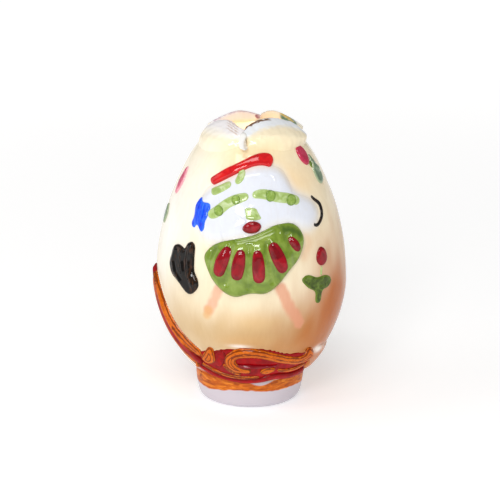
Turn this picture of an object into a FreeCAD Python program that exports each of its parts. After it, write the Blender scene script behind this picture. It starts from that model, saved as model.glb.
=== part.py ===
import FreeCAD, Part
import math
import os

# Relief-decorated porcelain Easter egg on a foot ring.  Units: mm.
# Z is up, the origin is the centre of the foot's rest face, the figure faces -Y.
# A slip-cast shell stands on a luted foot ring; four petals ring its open mouth,
# and moulded sprigs and thick enamel strokes lie on the shell as separate solids.

# --- driving dimensions: the egg ---
BELLY_R = 25.0          # largest radius
BELLY_Z = 32.8          # height of the largest radius
TIP_Z = 77.5            # where the uncut egg would close
HEEL_Z = 1.5            # lowest point of the egg, inside the foot ring
UPPER_RISE = 26.0       # how upright the flanks stay above the belly
UPPER_REACH = 9.2       # how blunt the tip is
LOWER_RISE = 16.4       # the same below the belly
LOWER_REACH = 12.5
WALL = 2.2              # cast wall
MOUTH_Z = 72.5          # the cast rim
MOUTH_R = 8.0           # trimmed hole in the rim

# --- driving dimensions: the foot ring ---
FOOT_R = 14.4           # at the top
FOOT_REST_R = 11.8      # outer edge of the face it stands on
FOOT_HOLE_R = 10.2
FOOT_TOP_Z = 8.6

# --- driving dimensions: petals round the mouth ---
NOTCH_AZ = -12.0        # azimuth of the front notch; the others follow every 90 degrees
NOTCH_R = 9.8           # how far out the notches reach
CREST_Z = 75.8

# --- heights of the reliefs above the shell ---
FLAT = 0.5              # thick enamel strokes and leaves
BLOUSE = 1.0
SKIRT = 1.6
PATCH = 0.4             # enamel laid on top of a relief
GROUND = 0.6            # red ground of the base rocaille
SCROLL = 1.3
BACK_TURN = 192.0       # the base relief repeated round the back
SPRAY = 1.6             # moulded blossoms on the back

V = FreeCAD.Vector
nodes = {}


def quarter(points):
    curve = Part.BezierCurve()
    curve.setPoles([V(r, 0, z) for r, z in points])
    return curve.toShape()


def egg_solid(grow):
    """The whole egg, enlarged all round by grow (handles follow the end curvature)."""
    tall = TIP_Z - BELLY_Z - UPPER_RISE
    deep = BELLY_Z - LOWER_RISE - HEEL_Z
    bend_tip = 2.0 / 3.0 * tall / UPPER_REACH ** 2
    bend_heel = 2.0 / 3.0 * deep / LOWER_REACH ** 2
    bend_up = 2.0 / 3.0 * (BELLY_R - UPPER_REACH) / UPPER_RISE ** 2
    bend_down = 2.0 / 3.0 * (BELLY_R - LOWER_REACH) / LOWER_RISE ** 2
    r, top, low = BELLY_R + grow, TIP_Z + grow, HEEL_Z - grow
    upper = quarter([(r, BELLY_Z), (r, BELLY_Z + UPPER_RISE * (1 + grow * bend_up)),
                     (UPPER_REACH * (1 + grow * bend_tip), top), (0, top)])
    lower = quarter([(0, low), (LOWER_REACH * (1 + grow * bend_heel), low),
                     (r, BELLY_Z - LOWER_RISE * (1 + grow * bend_down)), (r, BELLY_Z)])
    axis = Part.makeLine(V(0, 0, top), V(0, 0, low))
    face = Part.Face(Part.Wire([lower, upper, axis]))
    return face.revolve(V(0, 0, 0), V(0, 0, 1), 360)


eggs = {}


def egg(grow):
    if grow not in eggs:
        eggs[grow] = egg_solid(grow)
    return eggs[grow]


def spline(points, closed=False):
    curve = Part.BSplineCurve()
    curve.interpolate([V(x, 0, z) for x, z in points], PeriodicFlag=closed)
    return curve.toShape()


def blob(points):
    """A soft closed outline through a few points, drawn facing -Y."""
    return Part.Wire([spline(points, True)])


def ribbon(points, widths):
    """A brush stroke: a centreline with a width at each point and round ends."""
    left, right, tips = [], [], []
    last = len(points) - 1
    for i, (x, z) in enumerate(points):
        x0, z0 = points[max(i - 1, 0)]
        x1, z1 = points[min(i + 1, last)]
        length = math.hypot(x1 - x0, z1 - z0)
        tx, tz = (x1 - x0) / length, (z1 - z0) / length
        half = widths[i] / 2.0
        left.append((x - tz * half, z + tx * half))
        right.append((x + tz * half, z - tx * half))
        if i in (0, last):
            way = 0.75 * half * (1 if i else -1)
            tips.append((x + tx * way, z + tz * way))
    (ax, az), (bx, bz) = tips
    start = Part.Arc(V(right[0][0], 0, right[0][1]), V(ax, 0, az), V(left[0][0], 0, left[0][1]))
    end = Part.Arc(V(left[-1][0], 0, left[-1][1]), V(bx, 0, bz), V(right[-1][0], 0, right[-1][1]))
    return Part.Wire([spline(left), end.toShape(), spline(right[::-1]), start.toShape()])


def prism(wire, facing):
    """The outline pushed outward from the axis towards an azimuth (0 is the front)."""
    solid = Part.Face(wire).extrude(V(0, -40, 0))
    solid.translate(V(0, -2, 0))
    solid.rotate(V(0, 0, 0), V(0, 0, 1), facing)
    return solid


def sprig(name, wire, facing, high, low=0.0, under=()):
    """A relief of even height bedded on the shell, or on reliefs named in under."""
    solid = prism(wire, facing).common(egg(high)).cut(egg(low))
    for other in under:
        solid = solid.cut(nodes[other])
    pieces = sorted(solid.Solids, key=lambda s: s.Volume)
    nodes[name] = pieces[-1]
    return pieces[-1]


def ring_box(z_low, z_high, size=80.0):
    return Part.makeBox(size, size, z_high - z_low, V(-size / 2, -size / 2, z_low))


# --- shell: hollow, trimmed at the mouth, resting in the foot ring ---
shell = egg(0.0).cut(egg(-WALL)).cut(ring_box(MOUTH_Z, 90))
shell = shell.cut(Part.makeCylinder(MOUTH_R, 20, V(0, 0, 60)))
nodes["egg_shell"] = shell

# --- foot ring: turned under the egg, its top bedded against the shell ---
foot_wire = Part.Wire([
    Part.makeLine(V(FOOT_HOLE_R, 0, 6.0), V(FOOT_HOLE_R, 0, 0.5)),
    Part.makeLine(V(FOOT_HOLE_R, 0, 0.5), V(FOOT_HOLE_R + 0.5, 0, 0)),
    Part.makeLine(V(FOOT_HOLE_R + 0.5, 0, 0), V(FOOT_REST_R, 0, 0)),
    spline([(FOOT_REST_R, 0), (13.0, 0.6), (13.7, 1.9), (14.1, 3.8), (FOOT_R, 6.4), (FOOT_R, FOOT_TOP_Z)]),
    Part.makeLine(V(FOOT_R, 0, FOOT_TOP_Z), V(FOOT_HOLE_R, 0, 6.0)),
])
foot = Part.Face(foot_wire).revolve(V(0, 0, 0), V(0, 0, 1), 360)
nodes["foot_ring"] = foot.cut(egg(0.0))

# --- four petals round the mouth, with a white slip bead in the front joint ---
seat = egg(0.0).common(ring_box(0, MOUTH_Z))
drip = ribbon([(0.2, 72.0), (0.5, 70.7), (0.8, 69.4), (1.5, 68.6)], [1.4, 1.9, 1.8, 1.3])
bead = prism(drip, NOTCH_AZ).common(egg(2.0)).cut(seat)
bead = bead.cut(Part.makeCylinder(NOTCH_R + 0.7, 20, V(0, 0, 60))).Solids[0]
nodes["notch_bead"] = bead
HEM_LOW = [(16.0, 66.2), (15.8, 67.2), (15.4, 68.6), (14.7, 70.0)]
HEM_HIGH = [(14.8, 68.0), (15.2, 68.6), (15.1, 69.4), (14.6, 70.4)]
FRONT_RIGHT = HEM_HIGH + [(13.7, 71.5), (12.4, 72.6), (10.4, 73.9), (8.0, 75.1), (6.0, CREST_Z)]
BACK_RIGHT = HEM_HIGH + [(13.7, 71.5), (12.4, 72.6), (10.4, 74.0), (8.0, 75.3),
                         (6.0, CREST_Z + 0.5)]
BACK_LEFT = HEM_LOW + [(13.6, 71.2), (12.1, 72.4), (10.0, 73.7), (7.9, 74.9),
                       (6.0, CREST_Z + 0.3)]
FRONT_LEFT = HEM_LOW + [(13.5, 71.1), (12.0, 72.2), (10.0, 73.4), (8.3, 74.3),
                        (6.6, CREST_Z - 0.8)]


def petal(name, start, back, crest):
    """A petal between two notches: revolved section, scalloped hem, straight-lipped crest."""
    (r0, z0), (r1, z1) = back[0], back[-1]
    section = Part.Wire([
        spline(back),
        Part.Arc(V(r1, 0, z1), V(r1 - 0.9, 0, z1 - 0.5), V(r1 - 0.7, 0, z1 - 1.3)).toShape(),
        Part.Arc(V(r1 - 0.7, 0, z1 - 1.3), V(6.6, 0, 73.3), V(MOUTH_R + 0.3, 0, 72.0)).toShape(),
        Part.makeLine(V(MOUTH_R + 0.3, 0, 72.0), V(r0 - 3.0, 0, z0)),
        Part.makeLine(V(r0 - 3.0, 0, z0), V(r0, 0, z0)),
    ])
    solid = Part.Face(section).revolve(V(0, 0, 0), V(0, 0, 1), 90)
    solid.rotate(V(0, 0, 0), V(0, 0, 1), start - 90)
    hem = Part.Wire([spline([(-13, 71.0), (-10.6, 69.2), (-6, z0 + 0.7), (0, z0 - 0.1),
                             (6, z0 + 0.7), (10.6, 69.2), (13, 71.0)]),
                     Part.makeLine(V(13, 0, 71.0), V(13, 0, 80)),
                     Part.makeLine(V(13, 0, 80), V(-13, 0, 80)),
                     Part.makeLine(V(-13, 0, 80), V(-13, 0, 71.0))])
    solid = solid.common(prism(hem, start + 45)).cut(seat).cut(bead)
    # the crest runs nearly straight from notch to notch and bulges a little at the middle
    corner = NOTCH_R * math.sin(math.radians(45))
    lip = Part.Wire([
        Part.makeLine(V(-corner, -corner, 70), V(0, -0.5, 70)),
        Part.makeLine(V(0, -0.5, 70), V(corner, -corner, 70)),
        _lip_curve(corner, crest),
    ])
    hole = Part.Face(lip).extrude(V(0, 0, 10))
    hole.rotate(V(0, 0, 0), V(0, 0, 1), start + 45)
    solid = solid.cut(hole)
    nodes[name] = sorted(solid.Solids, key=lambda s: s.Volume)[-1]


def _lip_curve(corner, crest):
    curve = Part.BSplineCurve()
    curve.interpolate([V(corner, -corner, 70), V(3.4, -crest - 0.25, 70), V(0, -crest, 70),
                       V(-3.4, -crest - 0.25, 70), V(-corner, -corner, 70)])
    return curve.toShape()


petal("petal_front_right", NOTCH_AZ, FRONT_RIGHT, 6.3)
petal("petal_back_right", NOTCH_AZ + 90, BACK_RIGHT, 6.5)
petal("petal_back_left", NOTCH_AZ + 180, BACK_LEFT, 6.5)
petal("petal_front_left", NOTCH_AZ + 270, FRONT_LEFT, 7.3)

PETALS = ("petal_front_right", "petal_back_right", "petal_back_left", "petal_front_left")

# --- the figure: skirt first, the rest butts against it ---
sprig("skirt", blob([(-12.2, 44.1), (-10.5, 46), (-7.9, 47.3), (-4.5, 48.2), (-1.3, 48.9),
                     (2, 49.9), (5.3, 51.4), (8, 51.9), (10.6, 51.7), (12.7, 50.2), (13.8, 48),
                     (13.5, 45.4), (12.2, 42.7), (9.9, 40.1), (7.9, 37.7), (5.7, 35.8),
                     (3.4, 34.8), (0.7, 34.9), (-1.3, 34.6), (-3.6, 33.9), (-5.9, 34.3),
                     (-8.3, 35.8), (-10.4, 38.1), (-11.8, 40.9)]), 0, SKIRT)
SKIRT_PETALS = [
    ([(-6.2, 45.5), (-7.4, 42.8), (-8.2, 40.0)], [2.2, 3.0, 2.6]),
    ([(-2.7, 45.0), (-3.2, 42.3), (-3.6, 39.5)], [2.2, 3.2, 2.8]),
    ([(1.5, 44.9), (1.8, 41.9), (2.0, 38.9)], [2.2, 3.1, 2.8]),
    ([(5.4, 46.6), (6.8, 43.8), (8.0, 41.1)], [2.4, 3.2, 2.6]),
    ([(10.0, 48.1), (11.0, 46.8), (11.9, 45.5)], [1.3, 1.8, 1.4]),
]
for k, (line, widths) in enumerate(SKIRT_PETALS):
    sprig("skirt_petal_%d" % (k + 1), ribbon(line, widths), 0, SKIRT + PATCH, SKIRT)
sprig("waist_bow", blob([(-2.5, 50.9), (-1.2, 52.2), (1.2, 52.4), (2.5, 51.5), (1.8, 50.2),
                         (0.2, 49.7), (-1.7, 49.9)]), 0, SKIRT + 0.5, 0.0, ("skirt",))
sprig("blouse", blob([(-8.6, 60.2), (-5.5, 62.4), (-2.5, 64.0), (0.6, 65.2), (4.2, 65.4),
                      (7.6, 64.0), (9.7, 61.2), (10.2, 57.4), (9.6, 53.6), (8.6, 50.0),
                      (2.0, 48.0), (-5.0, 46.0), (-7.6, 48.6), (-7.8, 54.0), (-8.6, 57.6)]),
      0, BLOUSE, 0.0, ("skirt", "waist_bow"))
sprig("blouse_arm_left", blob([(-3.5, 59.6), (-0.5, 60.4), (3.5, 58.0), (4.0, 50.0),
                               (2.6, 46.5), (-1.6, 46.8), (-3.4, 49.4), (-3.2, 53.0),
                               (-4.0, 56.6)]), -26, BLOUSE, 0.0, ("skirt", "blouse"))
sprig("blouse_arm_right", blob([(-3.5, 58.4), (1.5, 58.6), (6.4, 57.2), (9.0, 55.4),
                                (9.0, 51.8), (6.4, 49.6), (1.5, 49.2), (-3.6, 49.4)]),
      26, BLOUSE, 0.0, ("skirt", "blouse"))
sprig("hat_brim", ribbon([(-10.9, 61.2), (-8.1, 62.7), (-5.6, 63.9), (-3.1, 65.0),
                          (-0.6, 66.0), (1.9, 66.6), (4.6, 66.3)],
                         [1.7, 1.9, 2.0, 2.0, 2.2, 2.6, 2.9]),
      0, BLOUSE + 0.6, 0.0, ("blouse",) + PETALS)
WHITES = ("blouse", "blouse_arm_left", "blouse_arm_right", "skirt", "waist_bow", "hat_brim")
sprig("hat_ribbon_end", ribbon([(-10.2, 58.7), (-8.1, 59.8), (-6.2, 60.8)], [1.7, 1.8, 1.5]),
      0, BLOUSE + PATCH, 0.0, WHITES)
sprig("hat_ribbon", ribbon([(-4.0, 61.4), (-3.1, 62.7), (-2.8, 63.9)], [1.4, 1.9, 1.7]),
      0, BLOUSE + PATCH, 0.0, WHITES)
sprig("sleeve_band_right", ribbon([(0.6, 58.6), (3.2, 58.7), (6.0, 58.1), (9.0, 57.6),
                                   (11.6, 56.9)], [1.6, 2.2, 2.3, 2.3, 2.2]),
      0, BLOUSE + PATCH, 0.0, WHITES)
sprig("sleeve_band_left", ribbon([(-10.6, 53.4), (-8.6, 54.6), (-6.5, 56.3), (-4.2, 57.4),
                                  (-1.6, 58.2)], [2.0, 2.4, 2.2, 2.2, 1.6]),
      0, BLOUSE + PATCH, 0.0, WHITES)
sprig("blouse_placket", ribbon([(-0.3, 57.0), (-0.1, 55.2), (0.1, 53.4)], [1.3, 1.5, 1.8]),
      0, BLOUSE + PATCH, 0.0, WHITES)
RINGS = [(10.3, 57.1, 1.3), (4.8, 58.3, 1.3), (-8.7, 54.5, 1.2), (-4.3, 57.3, 1.1)]
rings = []
for x, z, radius in RINGS:
    circle = Part.Wire([Part.makeCircle(radius, V(x, 0, z), V(0, 1, 0))])
    bead = prism(circle, 0).common(egg(BLOUSE + PATCH + 0.35)).cut(egg(BLOUSE + PATCH))
    eye = Part.Wire([Part.makeCircle(radius * 0.42, V(x, 0, z), V(0, 1, 0))])
    rings.append(bead.cut(prism(eye, 0)).Solids[0])
nodes["sleeve_rings"] = Part.Compound(rings)

sprig("cuff", blob([(-0.7, 57.0), (0.4, 56.0), (2.5, 55.8), (2.8, 53.2), (2.2, 51.1),
                    (2.2, 49.8), (1.3, 49.1), (0.2, 50.2), (-0.8, 50.6), (-1.5, 49.7),
                    (-2.5, 50.4), (-2.0, 52.4), (-2.4, 54.8), (-2.0, 56.1)]),
      -36, BLOUSE + 0.3, 0.0, ("blouse_arm_left", "sleeve_band_left"))
sprig("black_bundle", blob([(-3.0, 43.9), (-0.9, 44.5), (0.4, 44.1), (1.1, 45.3), (2.5, 46.2),
                            (3.5, 45.5), (3.8, 43.6), (4.0, 41.0), (4.3, 39.0), (5.5, 37.1),
                            (5.8, 35.4), (5.0, 34.1), (3.2, 33.0), (1.2, 34.0), (-1.0, 35.6),
                            (-2.6, 36.9), (-3.6, 38.5), (-4.0, 40.0), (-3.5, 42.0)]),
      -45, 1.2)
sprig("black_hook", ribbon([(0.0, 57.3), (1.0, 56.3), (2.4, 55.2), (2.7, 53.8), (2.3, 52.3),
                            (1.0, 51.0), (-0.5, 50.3), (-1.6, 50.7)],
                           [0.6, 0.8, 1.0, 1.0, 0.9, 0.8, 0.7, 0.6]),
      48, BLOUSE + 0.2, 0.0, ("blouse_arm_right",))


# --- flowers: a round or pointed bud, a stem and a leaf ---
def bud(name, u, z, wide, tall, lean, facing, point=0.0, high=FLAT + 0.2):
    """A bud leaning to the right by lean degrees; point draws its top out."""
    c, s = math.cos(math.radians(lean)), math.sin(math.radians(lean))
    outline = [(0, 0.5 + point), (0.42, 0.28), (0.46, -0.2), (0, -0.5), (-0.46, -0.2),
               (-0.42, 0.28)]
    points = [(u + p * wide * c + q * tall * s, z - p * wide * s + q * tall * c)
              for p, q in outline]
    sprig(name, blob(points), facing, high, 0.0, PETALS)


bud("bud_upper_right", 0.9, 66.6, 3.9, 4.6, -12, 53)
bud("bud_lower_right", 0.0, 42.3, 4.0, 4.2, 8, 47, 0.12)
bud("bud_left", -0.3, 59.0, 2.9, 6.2, 6, -70, 0.1)
STEMS = [
    ("stem_upper_right", [(2.6, 64.4), (4.0, 63.4), (5.4, 62.6)], [1.3, 1.4, 1.0], 53),
    ("stem_lower_right", [(-0.3, 39.9), (-0.5, 38.9), (-0.6, 37.9)], [0.5, 0.5, 0.6], 47),
]
for name, line, widths, facing in STEMS:
    sprig(name, ribbon(line, widths), facing, FLAT, 0.0,
          ("bud_upper_right", "bud_lower_right"))
LEAVES = [
    ("leaf_upper_right", [(0.4, 66.3), (1.5, 64.2), (2.8, 61.0), (1.6, 59.6), (-0.8, 59.8),
                          (-1.5, 61.6), (-1.2, 63.8)], 66),
    ("leaf_lower_right", [(-5.5, 37.9), (-3.7, 38.5), (-1.0, 37.5), (2.3, 37.5), (4.6, 36.0),
                          (3.4, 34.4), (0.9, 33.7), (-0.2, 30.7), (-1.0, 30.9), (-1.4, 33.6),
                          (-3.4, 35.0), (-5.0, 36.4)], 44),
    ("leaf_left", [(-0.6, 52.8), (0.9, 51.6), (1.3, 49.4), (0.2, 47.8), (-1.2, 49.0),
                   (-1.6, 51.2)], -78),
]
for name, points, facing in LEAVES:
    sprig(name, blob(points), facing, FLAT + 0.1, 0.0,
          ("stem_upper_right", "stem_lower_right"))

# --- base rocaille: front panel ---
sprig("rocaille_ground", blob([(-14.0, 16.6), (-12.2, 17.4), (-9.6, 18.0), (-7.1, 18.9),
                               (-4.2, 19.2), (-0.8, 19.6), (2.4, 19.6), (5.7, 19.0),
                               (9.0, 17.7), (12.4, 17.1), (15.4, 16.2), (15.6, 13.2),
                               (14.2, 10.6), (11.0, 9.2), (6.0, 9.6), (2.7, 9.0), (-1.5, 8.8),
                               (-4.0, 9.0), (-7.3, 9.6), (-10.0, 10.6), (-13.2, 12.6)]),
      0, GROUND)
sprig("c_scroll", ribbon([(-0.2, 13.0), (-2.2, 13.2), (-4.3, 14.1), (-5.3, 15.7), (-4.7, 17.3),
                          (-2.6, 18.3), (0.9, 18.5), (4.2, 17.9), (7.5, 16.7), (10.8, 15.5),
                          (13.3, 15.0), (15.2, 15.6), (16.2, 17.2)],
                         [0.9, 1.4, 2.1, 2.4, 2.2, 2.0, 1.9, 1.8, 1.8, 1.8, 1.8, 1.8, 1.3]),
      0, SCROLL, 0.0, ("rocaille_ground",))
sprig("scroll_boss", blob([(-3.6, 15.9), (-1.7, 16.9), (1.4, 17.0), (5.0, 15.9), (8.4, 14.9),
                           (5.9, 14.2), (2.6, 14.1), (-0.7, 14.0), (-2.9, 14.5)]),
      0, SCROLL + 0.3, GROUND, ("c_scroll",))
sprig("scroll_drop", blob([(2.8, 12.8), (3.7, 13.7), (5.4, 13.9), (7.0, 13.3), (5.9, 12.4),
                           (4.1, 11.9)]), 0, SCROLL, GROUND)
tail = sprig("scroll_flicks", ribbon([(7.6, 12.8), (10.4, 12.0), (12.8, 12.3), (14.6, 13.2)],
                                     [0.6, 0.9, 0.9, 0.6]), 0, SCROLL - 0.2, GROUND,
             ("c_scroll",))
hook = sprig("scroll_flicks", ribbon([(-6.8, 14.4), (-5.6, 13.0), (-4.2, 12.1), (-2.6, 11.6)],
                                     [0.6, 0.9, 0.9, 0.6]), 0, SCROLL - 0.2, GROUND,
             ("c_scroll",))
nodes["scroll_flicks"] = Part.Compound([tail, hook])
sprig("red_shell", blob([(-9.3, 17.2), (-8.2, 18.4), (-7.0, 18.5), (-6.4, 17.2), (-6.9, 15.2),
                         (-8.0, 13.4), (-9.2, 14.4)]), 0, SCROLL - 0.3, GROUND, ("c_scroll",))
sprig("gold_leaf", blob([(-11.6, 17.8), (-10.6, 18.6), (-9.8, 17.5), (-9.7, 15.2), (-10.8, 14.4),
                         (-12.4, 15.4)]), 0, SCROLL, 0.0, ("rocaille_ground", "red_shell"))
FRONT = ("rocaille_ground", "c_scroll", "scroll_drop", "scroll_flicks", "gold_leaf",
         "red_shell")
sprig("rope_gold", ribbon([(-13.0, 13.6), (-10.7, 12.4), (-8.4, 11.4), (-5.1, 10.6),
                           (-1.5, 10.4), (2.4, 10.8)], [0.7, 0.9, 0.9, 0.9, 0.9, 0.7]),
      0, SCROLL - 0.1, 0.0, FRONT)
sprig("rope_red", ribbon([(-14.2, 12.9), (-12.2, 11.8), (-10.0, 10.6), (-7.3, 9.7),
                          (-4.0, 9.2), (-1.0, 9.1), (2.7, 9.5), (6.4, 10.3), (9.6, 10.0),
                          (12.4, 9.9), (14.6, 11.2)],
                         [0.9, 1.2, 1.3, 1.3, 1.3, 1.4, 1.6, 1.9, 2.0, 1.8, 1.2]),
      0, SCROLL, 0.0, FRONT + ("rope_gold",))
BASE_FRONT = FRONT + ("rope_gold", "rope_red", "scroll_boss")

# --- base rocaille: the strap that climbs the left flank ---
sprig("strap_red", ribbon([(-8.8, 35.4), (-5.2, 33.2), (-1.7, 29.8), (0.6, 26.2), (2.8, 22.6),
                           (4.9, 19.2), (6.9, 16.2), (8.6, 14.2)],
                          [1.0, 1.6, 2.0, 2.0, 2.0, 1.9, 1.6, 1.2]), -65, 0.8, 0.0, BASE_FRONT)
sprig("strap_gold_inner", ribbon([(-5.6, 34.8), (-1.6, 31.5), (0.9, 28.3), (3.0, 24.9),
                                  (5.1, 21.7), (7.6, 18.9), (10.0, 16.7)],
                                 [0.8, 1.4, 1.8, 2.1, 2.4, 2.6, 2.2]),
      -65, 1.0, 0.0, BASE_FRONT + ("strap_red",))
sprig("strap_gold_outer", ribbon([(-8.6, 33.0), (-5.0, 30.0), (-2.6, 26.8), (-0.4, 23.0),
                                  (1.9, 19.4), (4.4, 15.8), (7.0, 12.9)],
                                 [1.0, 1.8, 2.2, 2.4, 2.4, 2.2, 1.4]),
      -65, 0.8, 0.0, BASE_FRONT + ("strap_red",))
STRAP = ("strap_red", "strap_gold_inner", "strap_gold_outer")

# --- base rocaille: tan glazed shoulder on the right, and the same relief turned to the back ---
sprig("shoulder_right", blob([(-8.8, 14.6), (-7.9, 16.9), (-5.8, 17.3), (-2.6, 16.0),
                              (2.0, 15.2), (7.0, 14.8), (8.0, 12.4), (4.0, 10.0), (-2.0, 9.4),
                              (-6.6, 10.4), (-8.6, 12.6)]), 76, 0.7, 0.0, BASE_FRONT)

BACK = {"rocaille_ground": "back_ground", "c_scroll": "back_c_scroll",
        "rope_red": "back_rope_red", "strap_red": "back_strap_red",
        "strap_gold_inner": "back_strap_gold_inner",
        "strap_gold_outer": "back_strap_gold_outer"}
for source, name in BACK.items():
    turned = nodes[source].copy()
    turned.rotate(V(0, 0, 0), V(0, 0, 1), BACK_TURN)
    turned = turned.cut(nodes["shoulder_right"])
    nodes[name] = sorted(turned.Solids, key=lambda s: s.Volume)[-1]

# --- back of the egg: a spray of three blossoms ---
bud("back_blossom_mid", 0.0, 49.5, 7.0, 7.4, 0, 180, 0.06, SPRAY)
bud("back_blossom_left", -7.4, 42.5, 5.4, 5.6, -24, 180, 0.08, SPRAY)
bud("back_blossom_right", 7.2, 43.5, 5.4, 5.6, 22, 180, 0.08, SPRAY)
BLOSSOMS = ("back_blossom_mid", "back_blossom_left", "back_blossom_right")
sprig("back_stem", ribbon([(0.1, 46.4), (-0.2, 41.0), (0.4, 35.0), (0.0, 29.6)],
                          [0.9, 1.0, 1.1, 1.2]), 180, SPRAY, 0.0, BLOSSOMS)
leaves = [
    sprig("back_leaves", blob(points), 180, SPRAY + 0.1, 0.0, ("back_stem",))
    for points in (
        [(-0.9, 37.0), (-3.4, 38.8), (-6.6, 38.2), (-8.6, 35.8), (-6.0, 34.2), (-2.8, 34.6)],
        [(1.3, 36.4), (3.8, 38.4), (7.0, 38.0), (8.8, 35.4), (6.2, 33.6), (3.0, 33.8)])]
nodes["back_leaves"] = Part.Compound(leaves)

os.makedirs("parts", exist_ok=True)
for name, shape in nodes.items():
    if len(shape.Solids) == 1:
        shape = shape.Solids[0]
    box = shape.BoundBox
    print("%-22s %9.2f mm3, %d solid, z %.1f to %.1f, valid %s" % (
        name, shape.Volume, len(shape.Solids), box.ZMin, box.ZMax, shape.isValid()))
    shape.exportStep("parts/%s.step" % name)
print(len(nodes), "nodes")
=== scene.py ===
"""Looks of the relief-decorated porcelain egg: a glazed shell, sprigs and enamels on it."""
import math

import bpy
import numpy as np
from mathutils import Matrix, Vector
from mathutils.geometry import delaunay_2d_cdt


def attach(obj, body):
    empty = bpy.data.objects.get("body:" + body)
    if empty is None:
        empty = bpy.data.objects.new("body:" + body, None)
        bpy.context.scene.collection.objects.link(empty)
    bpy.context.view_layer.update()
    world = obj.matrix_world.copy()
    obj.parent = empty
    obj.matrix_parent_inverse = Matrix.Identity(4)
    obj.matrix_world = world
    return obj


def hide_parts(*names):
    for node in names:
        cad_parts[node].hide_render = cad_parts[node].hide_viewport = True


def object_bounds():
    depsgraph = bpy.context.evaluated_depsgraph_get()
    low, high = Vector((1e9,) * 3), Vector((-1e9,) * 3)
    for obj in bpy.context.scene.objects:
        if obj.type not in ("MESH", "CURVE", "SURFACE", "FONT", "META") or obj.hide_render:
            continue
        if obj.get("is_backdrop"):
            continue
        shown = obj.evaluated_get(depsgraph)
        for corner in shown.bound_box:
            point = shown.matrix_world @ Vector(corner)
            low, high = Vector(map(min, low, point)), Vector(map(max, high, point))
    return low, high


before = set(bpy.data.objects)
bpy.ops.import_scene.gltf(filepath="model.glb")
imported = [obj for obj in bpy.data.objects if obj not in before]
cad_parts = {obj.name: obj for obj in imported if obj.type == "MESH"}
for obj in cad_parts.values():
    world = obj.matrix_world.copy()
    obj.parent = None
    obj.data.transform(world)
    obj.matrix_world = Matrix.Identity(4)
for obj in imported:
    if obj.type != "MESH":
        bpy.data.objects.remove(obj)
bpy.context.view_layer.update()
scene = bpy.context.scene
MM = 0.001

# ---------------------------------------------------------------- the egg's surface (mm)
BELLY_R, BELLY_Z, TIP_Z, HEEL_Z = 25.0, 32.8, 77.5, 1.5
UPPER_RISE, UPPER_REACH, LOWER_RISE, LOWER_REACH = 26.0, 9.2, 16.4, 12.5
MOUTH_Z, MOUTH_R, WALL = 72.5, 8.0, 2.2
NOTCH_AZ = -12.0                          # where the front notch is, degrees
UNEVEN_SLOW, UNEVEN_RIPPLE = 0.09, 0.035  # how far the surface wanders
CHUNK = 2000                              # points per step of the long distance sums


def bezier(a, b, c, d, t):
    a, b, c, d = (np.array(p, float) for p in (a, b, c, d))
    t = t[:, None]
    return (1 - t) ** 3 * a + 3 * (1 - t) ** 2 * t * b + 3 * (1 - t) * t * t * c + t ** 3 * d


_t = np.linspace(0, 1, 400)
PROFILE = np.concatenate([
    bezier((0, HEEL_Z), (LOWER_REACH, HEEL_Z), (BELLY_R, BELLY_Z - LOWER_RISE),
           (BELLY_R, BELLY_Z), _t)[:-1],
    bezier((BELLY_R, BELLY_Z), (BELLY_R, BELLY_Z + UPPER_RISE), (UPPER_REACH, TIP_Z),
           (0, TIP_Z), _t)])
_tangent = np.gradient(PROFILE, axis=0)
_tangent /= np.linalg.norm(_tangent, axis=1)[:, None]
PROFILE_N = np.stack([_tangent[:, 1], -_tangent[:, 0]], 1)


def egg_r(z):
    return np.interp(z, PROFILE[:, 1], PROFILE[:, 0])


def egg_normal(z):
    """Radial and upward part of the egg's outward normal at heights z."""
    return (np.interp(z, PROFILE[:, 1], PROFILE_N[:, 0]),
            np.interp(z, PROFILE[:, 1], PROFILE_N[:, 1]))


def smooth(x, a, b):
    """From 0 at a to 1 at b without a corner."""
    t = np.clip((x - a) / (b - a), 0, 1)
    return t * t * (3 - 2 * t)


class Waves:
    """A fixed sum of cosines: slow unevenness, from about -1 to 1."""

    def __init__(self, seed, size, count=7):
        rng = np.random.default_rng(seed)
        way = rng.normal(size=(count, 3))
        way /= np.linalg.norm(way, axis=1)[:, None]
        self.way = way * (2 * math.pi / (size * (0.7 + 0.7 * rng.random(count))))[:, None]
        self.phase = rng.random(count) * 2 * math.pi

    def __call__(self, points):
        return np.cos(points @ self.way.T + self.phase).mean(1) * 1.6


SLOW, RIPPLE, FINE = Waves(3, 16), Waves(5, 6), Waves(8, 2.2)


def place(az, z, h):
    """Points h mm outside the egg at azimuths az (radians) and heights z."""
    r = egg_r(z)
    nr, nz = egg_normal(z)
    spot = np.stack([r * np.sin(az), -r * np.cos(az), z], -1)
    h = h + UNEVEN_SLOW * SLOW(spot) + UNEVEN_RIPPLE * RIPPLE(spot)
    return np.stack([(r + nr * h) * np.sin(az), -(r + nr * h) * np.cos(az), z + nz * h], -1)


def above_egg(points):
    """Height over the egg of points in mm."""
    r = np.hypot(points[:, 0], points[:, 1])
    out = np.empty(len(r))
    for k in range(0, len(r), CHUNK):
        q = np.stack([r[k:k + CHUNK], points[k:k + CHUNK, 2]], 1)
        d = q[:, None] - PROFILE[None]
        i = (d ** 2).sum(2).argmin(1)
        out[k:k + CHUNK] = (d[np.arange(len(i)), i] * PROFILE_N[i]).sum(1)
    return out


# ---------------------------------------------------------------- relief built up so far
STEP_Z, STEP_A = 0.1, math.radians(0.25)
BLUR_R = 22.0                             # radius at which a blur counts azimuth steps as mm
FZ = np.arange(6.0, 76.01, STEP_Z)
FA = np.arange(-math.pi, math.pi + STEP_A / 2, STEP_A)
FIELD = np.zeros((len(FZ), len(FA)))


def wrap(a):
    """Angles brought between -pi and pi."""
    return (a + math.pi) % (2 * math.pi) - math.pi


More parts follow.
